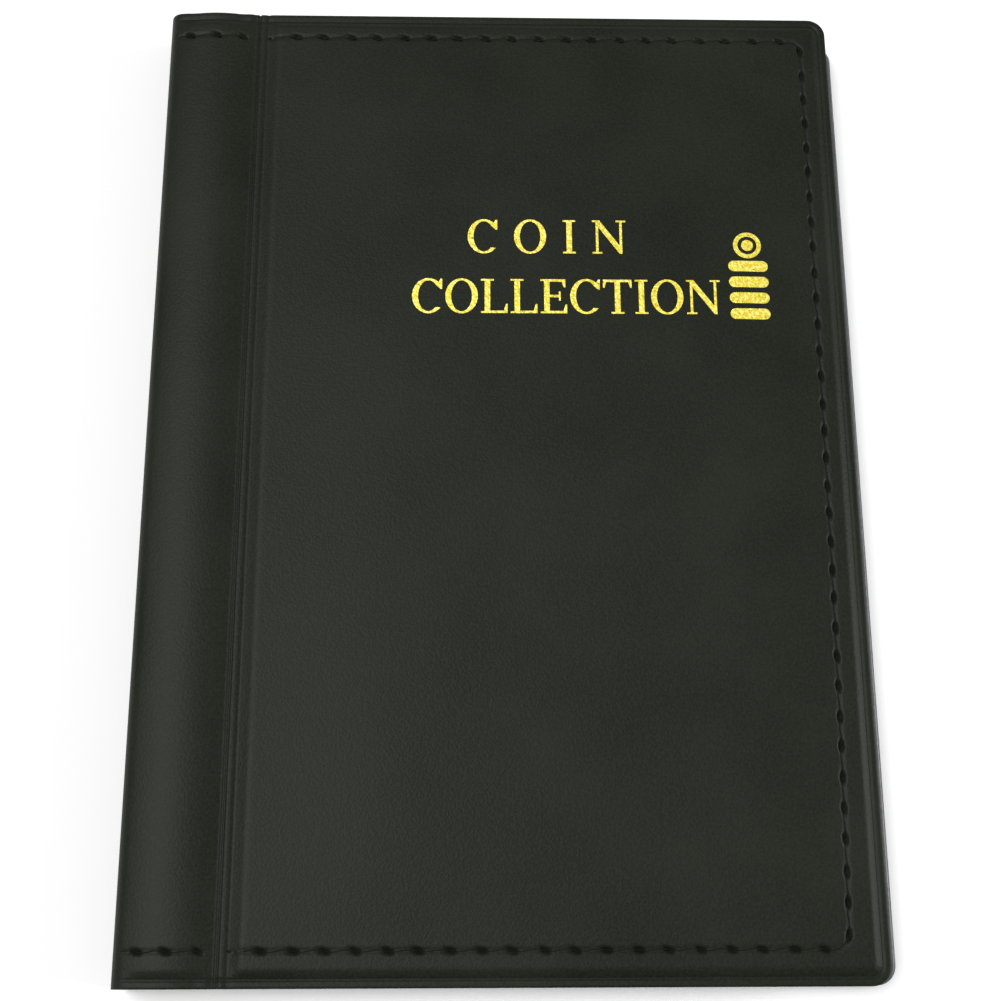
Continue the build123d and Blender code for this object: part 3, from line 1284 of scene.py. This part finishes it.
    def columns(self, path: Path, fine: bool) -> list[float]:
        """Return stations from the middle of the spine to the free edge.

        Args:
            path: The section that the sheet follows past the crease.
            fine: Whether the grid is close enough for stitches.

        Returns:
            The stations in order.
        """
        crease_x, web_half = self.album.crease_x, self.album.web_half
        spine_step, crease_step = (0.7, 0.2) if fine else (1.0, 0.4)
        return stations(
            crease_x - web_half - path.length,
            (crease_x - web_half - 1.0, spine_step),
            (crease_x + web_half, crease_step),
            (crease_x + 4.0, 0.45),
            *self.outwards(self.seam.least_x, self.seam.end_x, self.album.free_x[self.side], fine),
        )

    def rows(self, fine: bool) -> list[float]:
        """Return stations up the page."""
        seam, half = self.seam, self.album.half_height
        return mirrored(stations(0.0, *self.outwards(seam.least_y, seam.half_y, half, fine)))

    def part_stitches(self, bm: bmesh.types.BMesh) -> None:
        """Divide the long edges that run beside the seam, so that each slot has its own faces.

        Args:
            bm: The flat sheet's grid.
        """
        chosen = []
        for edge in bm.edges:
            first, second = (vert.co for vert in edge.verts)
            if (second - first).length < 0.45:
                continue
            middle = (first + second) / 2.0
            along, across = self.seam.nearest(middle.x, middle.y)
            if abs(across) < 1.25 and -1.0 < along < self.seam.length + 1.0:
                chosen.append(edge)
        bmesh.ops.subdivide_edges(bm, edges=chosen, cuts=5, use_grid_fill=True)

    def sheet(self, path: Path, fine: bool, upward: bool, sewn: bool) -> bmesh.types.BMesh:
        """Return the flat cut sheet of this half, from the middle of the spine outwards.

        Args:
            path: The section that the sheet follows past the crease.
            fine: Whether the grid is close enough for stitches.
            upward: Whether the faces look along +Z.
            sewn: Whether the faces beside the seam are made small.

        Returns:
            The flat sheet, with its surface remembered.
        """
        bm = flat_grid(self.columns(path, fine), self.rows(fine))
        if sewn:
            self.part_stitches(bm)
        round_corners(bm, self.album.free_x[self.side], self.album.half_height, self.album.corner)
        face_up(bm, upward)
        remember_surface(bm)
        return bm

    def hinge(self, piece: bpy.types.Object) -> None:
        """Bake a piece's transform into its mesh, without bending it across the crease.

        Args:
            piece: The piece.
        """
        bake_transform(piece)

    def layer_nodes(self, layer: str, spine_node: str) -> list[str]:
        """Return the nodes of a layer: the spine's goes with the front cover's."""
        nodes = [f"{self.side.cover}_{layer}"]
        return nodes + [spine_node] if self.side is Side.FRONT else nodes

    def make_skin(self) -> None:
        """Make the leatherette of this half, in one piece from the spine to the free edge."""
        front = self.side is Side.FRONT
        bm = self.sheet(self.path, fine=front, upward=front, sewn=front)
        for vert in bm.verts:
            vert.co = self.outside(vert.co.x, vert.co.y)
        piece = make_object(f"{self.side.label}_leatherette", bm, self.finishes["leatherette"])
        add_wall(piece, self.album.skin)
        self.hinge(piece)
        stands_for(piece, "leatherette", *self.layer_nodes("skin", "spine_cover"))

    def make_lining(self) -> None:
        """Make the lining of this half, welded to the skin along the rims and in the crease."""
        bm = self.sheet(self.inner, fine=False, upward=self.side is Side.BACK, sewn=False)
        for vert in bm.verts:
            vert.co = self.inside(vert.co.x, vert.co.y)
        piece = make_object(f"{self.side.label}_lining_sheet", bm, self.finishes["lining_sheet"])
        add_wall(piece, self.album.lining)
        self.hinge(piece)
        stands_for(piece, "lining_sheet", *self.layer_nodes("lining", "spine_lining"))

    def pad_mesh(self, columns: Sequence[float], rows: Sequence[float], floor_z: float) -> bmesh.types.BMesh:
        """Return a closed pad: a flat back at a height and a face just under the skin.

        Args:
            columns: The x of each line up the page.
            rows: The y of each line across the page.
            floor_z: The height of the board under the pad.

        Returns:
            The pad's mesh.
        """
        out = self.side.value
        bm = flat_grid(columns, rows)
        face_up(bm, out > 0)
        back = bmesh.ops.extrude_face_region(bm, geom=bm.faces[:], use_keep_orig=True)
        top = {element for element in back["geom"] if isinstance(element, bmesh.types.BMVert)}
        bmesh.ops.recalc_face_normals(bm, faces=bm.faces)
        for vert in bm.verts:
            over = self.outside(vert.co.x, vert.co.y, sewn=False)
            _, across = self.seam.nearest(vert.co.x, vert.co.y)
            sewn = (self.valley + self.slot + self.pad_clear) * dent(across, 1.9)
            height = max((over.z - floor_z) * out - self.album.skin - sewn - self.pad_clear, 0.04)
            vert.co = Vector((over.x, vert.co.y, floor_z + out * (height if vert in top else 0.02)))
        bmesh.ops.recalc_face_normals(bm, faces=bm.faces)
        return bm

    def make_pads(self) -> None:
        """Make the foam of the cover and of the strip beside the spine."""
        album, side = self.album, self.side
        web, inset = album.crease_x + album.web_half, album.rim + 0.9
        half, free = album.half_height - inset, album.free_x[side] - inset
        coarse, close, beside_seam = 3.4, 0.6, 2.4
        rows = mirrored(stations(0.0, (self.seam.least_y - beside_seam, coarse), (half, close)))
        panel_end = self.seam.least_x - beside_seam
        cover = stations(web + 0.8, (web + 3.2, close), (panel_end, coarse), (free, close))
        strip_web = web - 2 * album.web_half
        strip = stations(strip_web - 12.4, (strip_web - 0.8, 0.8))
        for body, name, columns, node in (
            (side.cover, f"{side.label}_cover_pad", cover, f"{side.cover}_foam"),
            ("binding", f"{side.label}_strip_pad", strip, f"{side.label}_strip_padding"),
        ):
            bm = self.pad_mesh(columns, rows, album.board_z[side])
            piece = make_object(name, bm, self.finishes["white_foam"])
            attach(piece, body)
            stands_for(piece, "white_foam", node)

    def thread_route(self, surface: Callable[[float, float], Vector], outward: float) -> list[Vector]:
        """Return the route of a thread that dips into each needle hole.

        Args:
            surface: The surface that the thread lies on.
            outward: 1 or -1, for the side of the surface that faces up the Z axis.

        Returns:
            The route's points in millimetres.
        """
        steps = 8
        route = []
        for n in range(self.seam.stitches * steps + 1):
            along = n / steps * self.seam.spacing
            place, heading = self.seam.at(along)
            phase = (n % steps) / steps - 0.5
            sway = self.thread_sway * math.sin(2.0 * math.pi * phase)
            dip = dent(phase * self.seam.spacing, self.dip_half)
            beside = Vector((heading.y, -heading.x)) * sway
            point = surface(place.x + beside.x, place.y + beside.y)
            route.append(point + Vector((0.0, 0.0, outward * (self.thread_lift - self.thread_dip * dip))))
        return route

    def make_threads(self) -> None:
        """Make the thread on the skin and the thread on the lining."""
        out = self.side.value

        def on_skin(x: float, y: float) -> Vector:
            """Return a place at the bottom of the seam's valley."""
            place = self.outside(x, y, sewn=False)
            return place - Vector((0.0, 0.0, out * self.valley))

        for name, surface, outward, radius, nodes in (
            ("outer", on_skin, out, self.outer_thread, [f"{self.side.cover}_stitching"]),
            ("inner", self.inside, -out, self.inner_thread, ["spine_stitching"] if out > 0 else []),
        ):
            route = self.thread_route(surface, outward)
            piece = tube(f"{self.side.label}_{name}_thread", route, radius, self.finishes["black_thread"])
            self.hinge(piece)
            stands_for(piece, "black_thread", *nodes)

    def build(self) -> None:
        """Make this half's pieces in order."""
        self.make_skin()
        self.make_lining()
        self.make_pads()
        self.make_threads()


# Foil

@dataclass(frozen=True)
class Capitals:
    """Plain serifed capitals, drawn for a cap height of one."""

    stem: float = 0.15
    hair: float = 0.07
    serif: float = 0.1
    foot: float = 0.05
    bowl: tuple[float, float] = (0.44, 0.515)
    bowl_steps: int = 44

    @property
    def post(self) -> list[tuple[float, float]]:
        """The left side of a stem with its two serifs, from the top down."""
        serif, foot = self.serif, self.foot
        return [(0.0, 1.0), (0.0, 1.0 - foot), (serif, 1.0 - foot), (serif, foot), (0.0, foot)]

    def letter_i(self) -> list[tuple[float, float]]:
        """The outline of an I."""
        wide = self.stem + 2.0 * self.serif
        right = [(wide - x, y) for x, y in reversed(self.post)]
        return [(0.0, 0.0), (wide, 0.0), *right, *self.post]

    def letter_l(self) -> list[tuple[float, float]]:
        """The outline of an L."""
        wide, edge, foot, hair = 0.72, self.serif + self.stem, self.foot, self.hair
        arm = [(wide, 0.0), (wide, 0.27), (wide - 0.045, 0.27), (wide - 0.1, hair), (edge, hair)]
        top = [(edge, 1.0 - foot), (edge + self.serif, 1.0 - foot), (edge + self.serif, 1.0)]
        return [(0.0, 0.0), *arm, *top, *self.post]

    def letter_e(self) -> list[tuple[float, float]]:
        """The outline of an E."""
        wide, edge, hair = 0.72, self.serif + self.stem, self.hair
        low = [(wide, 0.0), (wide, 0.26), (wide - 0.045, 0.26), (wide - 0.1, hair), (edge, hair)]
        bar = [(edge, 0.47), (0.5, 0.47), (0.5, 0.37), (0.545, 0.37)]
        bar += [(x, 0.94 + hair - y) for x, y in reversed(bar)]
        top = [(edge, 1.0 - hair), (wide - 0.14, 1.0 - hair), (wide - 0.085, 0.76), (wide - 0.04, 0.76)]
        return [(0.0, 0.0), *low, *bar, *top, (wide - 0.04, 1.0), *self.post]

    def letter_t(self) -> list[tuple[float, float]]:
        """The outline of a T."""
        middle, half, hair, foot = 0.39, self.stem / 2.0, self.hair, self.foot
        right = [(half + self.serif, 0.0), (half + self.serif, foot), (half, foot), (half, 1.0 - hair)]
        right += [(middle - 0.09, 1.0 - hair), (middle - 0.04, 0.76), (middle, 0.76), (middle, 1.0)]
        return [(middle + x, y) for x, y in right] + [(middle - x, y) for x, y in reversed(right)]

    def letter_n(self) -> list[tuple[float, float]]:
        """The outline of an N."""
        wide, serif, hair, foot = 0.92, self.serif, self.hair, self.foot
        left, right = serif + hair, wide - serif - hair
        foot_line = [(0.0, 0.0), (left + serif, 0.0), (left + serif, foot), (left, foot), (left, 0.8)]
        head = [(wide - serif, 1.0 - foot), (wide, 1.0 - foot), (wide, 1.0), (right - serif, 1.0)]
        head += [(right - serif, 1.0 - foot), (right, 1.0 - foot), (right, 0.24), (left + 0.03, 1.0)]
        return [*foot_line, (right, 0.0), (wide - serif, 0.0), *head, *self.post]

    def arc(self, start: float, end: float, inner: bool) -> list[tuple[float, float]]:
        """Return places round a bowl, thick at its sides and thin at its top, between two angles.

        Args:
            start: The first angle, in degrees.
            end: The last angle, in degrees.
            inner: Whether it is the stroke's inner edge.

        Returns:
            The places in order.
        """
        across = self.bowl[0] - (self.stem * 1.05 if inner else 0.0)
        up = self.bowl[1] - (self.hair * 0.85 if inner else 0.0)
        steps = max(2, round(abs(end - start) / 360.0 * self.bowl_steps))
        angles = [math.radians(start + (end - start) * n / steps) for n in range(steps + 1)]
        return [(self.bowl[0] + across * math.cos(a), 0.5 + up * math.sin(a)) for a in angles]

    def letter_c(self) -> list[tuple[float, float]]:
        """The outline of a C."""
        middle, lip = self.bowl[0], 0.325
        tick = [(lip, 0.7), (lip + 0.045, 0.7), (lip + 0.045, 1.0), (lip, 1.0)]
        body = self.arc(52.0, 318.0, inner=False) + self.arc(312.0, 44.0, inner=True)
        return body + [(middle + x, y) for x, y in tick]

    def draw(self, bm: bmesh.types.BMesh, letter: str) -> list[bmesh.types.BMVert]:
        """Draw a letter as flat faces at the origin.

        Args:
            bm: The mesh that takes the letter.
            letter: One of C, E, I, L, N, O and T.

        Returns:
            The letter's vertices.
        """
        if letter == "O":
            rounds = [self.arc(0.0, 360.0, inner)[:-1] for inner in (False, True)]
            loops = [[bm.verts.new((x, y, 0.0)) for x, y in places] for places in rounds]
            edges = [bm.edges.new((loop[n - 1], loop[n])) for loop in loops for n in range(len(loop))]
            bmesh.ops.bridge_loops(bm, edges=edges)
            return loops[0] + loops[1]
        outline = getattr(self, f"letter_{letter.lower()}")()
        verts = [bm.verts.new((x, y, 0.0)) for x, y in outline]
        face = bm.faces.new(verts)
        face.normal_update()
        bmesh.ops.triangulate(bm, faces=[face])
        return verts


@dataclass
class FoilStamp:
    """The gold title and the device beside it, stamped on the front cover."""

    front: Half
    finish: bpy.types.Material
    lines: tuple = (("COIN", 7.0, 41.7, 28.6), ("COLLECTION", 10.4, 30.0, 55.2))
    cap_height: float = 6.6
    capitals: Capitals = Capitals()
    device_x: float = 43.3
    stack_top_y: float = 36.15
    bar: tuple[float, float] = (7.2, 2.1)
    bars: int = 4
    bar_pitch: float = 3.1
    coin: tuple[float, float] = (2.55, 1.75)
    slice_step: float = 1.5
    thickness: float = 0.04
    sunk: float = 0.02

    def lettering(
        self, bm: bmesh.types.BMesh, words: str, middle_x: float, middle_y: float, width: float
    ) -> None:
        """Draw a line of flat capitals, evenly spaced to a width about a middle.

        Args:
            bm: The mesh that takes the letters.
            words: The line's letters.
            middle_x: The middle of the line, across.
            middle_y: The middle of the line, up the page.
            width: The width of the line.
        """
        letters = []
        for letter in words:
            verts = self.capitals.draw(bm, letter)
            bmesh.ops.scale(bm, vec=(self.cap_height,) * 3, verts=verts)
            letters.append((verts, max(vert.co.x for vert in verts)))
        gap = (width - sum(wide for _, wide in letters)) / (len(letters) - 1)
        x = middle_x - width / 2.0
        for verts, wide in letters:
            bmesh.ops.translate(bm, vec=(x, middle_y - self.cap_height / 2.0, 0.0), verts=verts)
            x += wide + gap

    def device(self) -> bmesh.types.BMesh:
        """Return the flat device: a stack of coins seen from the side, with one upright on it."""
        bm = bmesh.new()
        half, radius = self.bar[0] / 2.0, self.bar[1] / 2.0
        for n in range(self.bars):
            made = bmesh.ops.create_circle(bm, cap_ends=True, segments=28, radius=radius)["verts"]
            for vert in made:
                vert.co.x += math.copysign(half - radius, vert.co.x)
            middle_y = self.stack_top_y - n * self.bar_pitch
            bmesh.ops.translate(bm, vec=(self.device_x, middle_y, 0.0), verts=made)
        outer, inner = self.coin
        rings = [bmesh.ops.create_circle(bm, segments=44, radius=radius)["verts"] for radius in self.coin]
        ringed = {*rings[0], *rings[1]}
        bmesh.ops.bridge_loops(bm, edges=[edge for edge in bm.edges if edge.verts[0] in ringed])
        middle = bmesh.ops.create_circle(bm, cap_ends=True, segments=32, radius=inner * 0.62)["verts"]
        coin_y = self.stack_top_y + self.bar_pitch / 2.0 + outer
        bmesh.ops.translate(bm, vec=(self.device_x, coin_y, 0.0), verts=rings[0] + rings[1] + middle)
        return bm

    def lay(self, bm: bmesh.types.BMesh) -> None:
        """Cut flat foil into small faces, lay it on the cover and give it its thickness.

        Args:
            bm: The flat foil.
        """
        for axis in (Vector((1.0, 0.0, 0.0)), Vector((0.0, 1.0, 0.0))):
            places = [vert.co.dot(axis) for vert in bm.verts]
            for place in stations(min(places), (max(places), self.slice_step))[1:-1]:
                geom = bm.verts[:] + bm.edges[:] + bm.faces[:]
                bmesh.ops.bisect_plane(bm, geom=geom, plane_co=axis * place, plane_no=axis)
        face_up(bm, True)
        top = bmesh.ops.extrude_face_region(bm, geom=bm.faces[:], use_keep_orig=True)["geom"]
        raised = {element for element in top if isinstance(element, bmesh.types.BMVert)}
        for vert in bm.verts:
            under = self.front.outside(vert.co.x, vert.co.y)
            vert.co.z = under.z + (self.thickness if vert in raised else -self.sunk)
        bmesh.ops.recalc_face_normals(bm, faces=bm.faces)

    def build(self) -> None:
        """Make the title and the device."""
        title = bmesh.new()
        for line in self.lines:
            self.lettering(title, *line)
        for name, bm, node in (
            ("title_lettering", title, "title_foil"),
            ("coin_stack_device", self.device(), "device_foil"),
        ):
            self.lay(bm)
            piece = make_object(name, bm, self.finish, shade=False)
            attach(piece, "front_cover")
            stands_for(piece, "gold_foil", node)


# Leaves

@dataclass
class Leaf:
    """One leaf of clear pockets: a sheet, made flat, that folds beside the binding on the real album, with
    four pocket strips.
    """

    number: int
    film: bpy.types.Material
    pocket_film: bpy.types.Material
    corner: float = 3.0
    fold: float = 1.1
    columns: int = 3
    rows: int = 4
    row_pitch: float = 42.0
    notch: float = 7.0
    notch_share: float = 0.7
    mouth_cuts: int = 11
    same: float = 1e-4

    @property
    def label(self) -> str:
        """The leaf's body."""
        return f"leaf_{self.number:02d}"

    def make_sheet(self) -> None:
        """Make the flat sheet, with close stations where it leaves its stub."""
        low, high = frame_box(f"{self.label}_backing")
        start = low.x - 0.2
        bend = (start + self.fold + 0.3, 0.14)
        columns = stations(start, bend, (high.x - self.corner, 6.0), (high.x, 0.6))
        half = high.y
        rows = mirrored(stations(0.0, (half - self.corner, 6.0), (half, 0.6)))
        bm = flat_grid(columns, rows)
        round_corners(bm, high.x, half, self.corner)
        face_up(bm, True)
        bmesh.ops.translate(bm, vec=(0.0, 0.0, high.z), verts=bm.verts)
        piece = make_object(f"{self.label}_sheet", bm, self.film)
        add_wall(piece, high.z - low.z)
        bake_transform(piece)
        stands_for(piece, "clear_film", f"{self.label}_backing")

    def strip(self, low: Vector, high: Vector, bottom: float, top: float) -> bmesh.types.BMesh:
        """Return one flat pocket strip with a thumb notch at every mouth.

        Args:
            low: The low corner of all the strips.
            high: The high corner of all the strips.
            bottom: Where this strip's foot is.
            top: Where its mouths are.

        Returns:
            The strip, at height zero.
        """
        width = (high.x - low.x) / self.columns
        bm = flat_grid(stations(low.x, (high.x, width / 2.0)), [bottom, top])
        mouths = [low.x + (n + 0.5) * width for n in range(self.columns)]
        edges = [edge for edge in bm.edges if all(abs(vert.co.y - top) < self.same for vert in edge.verts)]
        bmesh.ops.subdivide_edges(bm, edges=edges, cuts=self.mouth_cuts)
        for vert in bm.verts:
            if abs(vert.co.y - top) > self.same:
                continue
            middle = min(mouths, key=lambda x: abs(x - vert.co.x))
            share = (vert.co.x - middle) / (width / 2.0)
            if abs(share) < self.notch_share:
                angle = share / self.notch_share * math.pi / 2.0
                vert.co.x = middle + self.notch * math.sin(angle)
                vert.co.y = top - self.notch * math.cos(angle)
        return bm

    def make_pockets(self) -> None:
        """Make the leaf's four pocket strips."""
        low, high = frame_box(f"{self.label}_pockets")
        height = high.y - low.y - (self.rows - 1) * self.row_pitch
        whole = bmesh.new()
        for row in range(self.rows):
            bottom = low.y + row * self.row_pitch
            bm = self.strip(low, high, bottom, bottom + height)
            holder = bpy.data.meshes.new("strip")
            bm.to_mesh(holder)
            bm.free()
            whole.from_mesh(holder)
            bpy.data.meshes.remove(holder)
        bmesh.ops.triangulate(whole, faces=[face for face in whole.faces if len(face.verts) > 4])
        face_up(whole, True)
        bmesh.ops.translate(whole, vec=(0.0, 0.0, high.z), verts=whole.verts)
        piece = make_object(f"{self.label}_pocket_strips", whole, self.pocket_film, shade=False)
        add_wall(piece, high.z - low.z)
        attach(piece, self.label)
        stands_for(piece, "clear_film", f"{self.label}_pockets")

    def build(self) -> None:
        """Make the leaf's pieces."""
        self.make_sheet()
        self.make_pockets()


# Studio

def stand(data: bpy.types.Light | bpy.types.Camera, matrix: Matrix) -> bpy.types.Object:
    """Put a light or a camera in the scene and return its object.

    Args:
        data: The light or the camera.
        matrix: Where it stands and how it is turned.

    Returns:
        Its object.
    """
    holder = bpy.data.objects.new(data.name, data)
    holder.matrix_world = matrix
    bpy.context.scene.collection.objects.link(holder)
    return holder


@dataclass(frozen=True)
class SoftBox:
    """A square area light that looks at a place on the album."""

    name: str
    place: tuple[float, float, float]
    target: tuple[float, float, float]
    width: float
    power: float

    def build(self) -> None:
        """Make the light."""
        lamp = bpy.data.lights.new(self.name, "AREA")
        lamp.shape, lamp.size, lamp.energy = "SQUARE", self.width, self.power
        aim = Vector(self.target) - Vector(self.place)
        stand(lamp, Matrix.Translation(self.place) @ aim.to_track_quat("-Z", "Y").to_matrix().to_4x4())


@dataclass(frozen=True)
class SkyPanel:
    """A very wide soft light from one direction, even over the whole floor."""

    name: str
    towards: tuple[float, float, float]
    spread: float
    strength: float

    def build(self) -> None:
        """Make the light."""
        lamp = bpy.data.lights.new(self.name, "SUN")
        lamp.angle, lamp.energy = math.radians(self.spread), self.strength
        stand(lamp, Vector(self.towards).to_track_quat("Z", "Y").to_matrix().to_4x4())


@dataclass(frozen=True)
class Studio:
    """The pale floor, the soft light and the camera."""

    camera_place: tuple[float, float, float] = (-0.00783, -0.08395, 0.26658)
    camera_aim: tuple[float, float, float] = (0.0235, 0.2847, -0.9583)
    camera_up: tuple[float, float, float] = (-0.0029, 0.9586, 0.2847)
    lens: float = 55.8
    world: float = 0.32
    backdrop: float = 0.97
    clip: tuple[float, float] = (0.01, 20.0)
    floor_size: float = 6.0
    floor_gap: float = 0.00002
    lights: tuple[SkyPanel | SoftBox, ...] = (
        SkyPanel("overhead", (-0.42, 0.08, 1.0), 34.0, 2.56),
        SoftBox("right_fill", (0.9, 0.0, 0.35), (0.06, 0.0, 0.0), 0.5, 7.0),
    )

    def build(self) -> None:
        """Set the studio up."""
        scene = bpy.context.scene
        scene.view_settings.view_transform = "Standard"
        scene.world = self.make_world()
        bm = bmesh.new()
        bmesh.ops.create_grid(bm, x_segments=2, y_segments=2, size=self.floor_size / 2.0 / MM)
        floor = make_object("floor", bm, PaleFloor().build("pale_floor"))
        floor.data.transform(Matrix.Translation((0.0, 0.0, -self.floor_gap)))
        for light in self.lights:
            light.build()
        self.aim_camera()

    def make_world(self) -> bpy.types.World:
        """Return a dim even world that shows as a pale backdrop."""
        world = bpy.data.worlds.new("studio")
        world.use_nodes = True
        tree = world.node_tree
        backdrop = tree.nodes["Background"]
        backdrop.inputs["Color"].default_value = (1.0, 1.0, 1.0, 1.0)
        seen = tree.nodes.new("ShaderNodeLightPath")
        strength = tree.nodes.new("ShaderNodeMapRange")
        strength.inputs["To Min"].default_value = self.world
        strength.inputs["To Max"].default_value = self.backdrop
        tree.links.new(seen.outputs["Is Camera Ray"], strength.inputs["Value"])
        tree.links.new(strength.outputs["Result"], backdrop.inputs["Strength"])
        return world

    def aim_camera(self) -> None:
        """Make the camera and look along its aim."""
        camera = bpy.data.cameras.new("camera")
        camera.lens = self.lens
        camera.clip_start, camera.clip_end = self.clip
        back = -Vector(self.camera_aim).normalized()
        right = Vector(self.camera_up).cross(back).normalized()
        up = back.cross(right)
        turn = Matrix((right, up, back)).transposed().to_4x4()
        bpy.context.scene.camera = stand(camera, Matrix.Translation(self.camera_place) @ turn)


# Putting it together

def make_finishes() -> dict[str, bpy.types.Material]:
    """Return the album's materials by slot, and the film with welds by its own name."""
    low, high = frame_box("leaf_01_pockets")
    film = ClearFilm(left_x=low.x, column=(high.x - low.x) / Leaf.columns, row=Leaf.row_pitch)
    grey = Board(linear(120, 116, 106), linear(158, 153, 142), linear(84, 78, 66))
    buff = Board(linear(188, 176, 150), linear(212, 202, 178), linear(140, 124, 92))
    return {
        "leatherette": Leatherette().build("leatherette"),
        "lining_sheet": LiningSheet().build("lining_sheet"),
        "white_foam": Foam().build("white_foam"),
        "grey_board": grey.build("grey_board"),
        "spacer_card": buff.build("spacer_card"),
        "clear_film": ClearFilm().build("clear_film"),
        "pocket_film": film.build("pocket_film"),
        "rivet_steel": RivetSteel().build("rivet_steel"),
        "black_thread": Thread().build("black_thread"),
        "gold_foil": GoldFoil().build("gold_foil"),
    }


def dress_frame(frame: dict, finishes: dict[str, bpy.types.Material]) -> None:
    """Give the frame's own nodes that stay their materials.

    Args:
        frame: The loaded frame.
        finishes: The album's materials by slot.
    """
    kinds = {"_board": "grey_board", "_stub": "clear_film", "spacer_": "spacer_card", "rivets": "rivet_steel"}
    for name, node in frame["nodes"].items():
        for kind, slot in kinds.items():
            if kind in name:
                node.data.materials.clear()
                node.data.materials.append(finishes[slot])


def main() -> None:
    """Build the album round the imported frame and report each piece."""
    logging.basicConfig(level=logging.INFO, format="%(message)s")
    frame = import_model()
    album = Album.from_frame()
    finishes = make_finishes()
    dress_frame(frame, finishes)
    front = Half(
        album, Side.FRONT, finishes, seam_lean=1.6, seam_rise=0.6,
        valley=0.16, slot=0.85, thread_dip=0.75, swell=0.42, rim_groove=0.2,
    )
    back = Half(album, Side.BACK, finishes, cell=3.4)
    front.build()
    back.build()
    FoilStamp(front, finishes["gold_foil"]).build()
    for number in range(1, LEAVES + 1):
        Leaf(number, finishes["clear_film"], finishes["pocket_film"]).build()
    Studio().build()


if __name__ == "__main__":
    main()
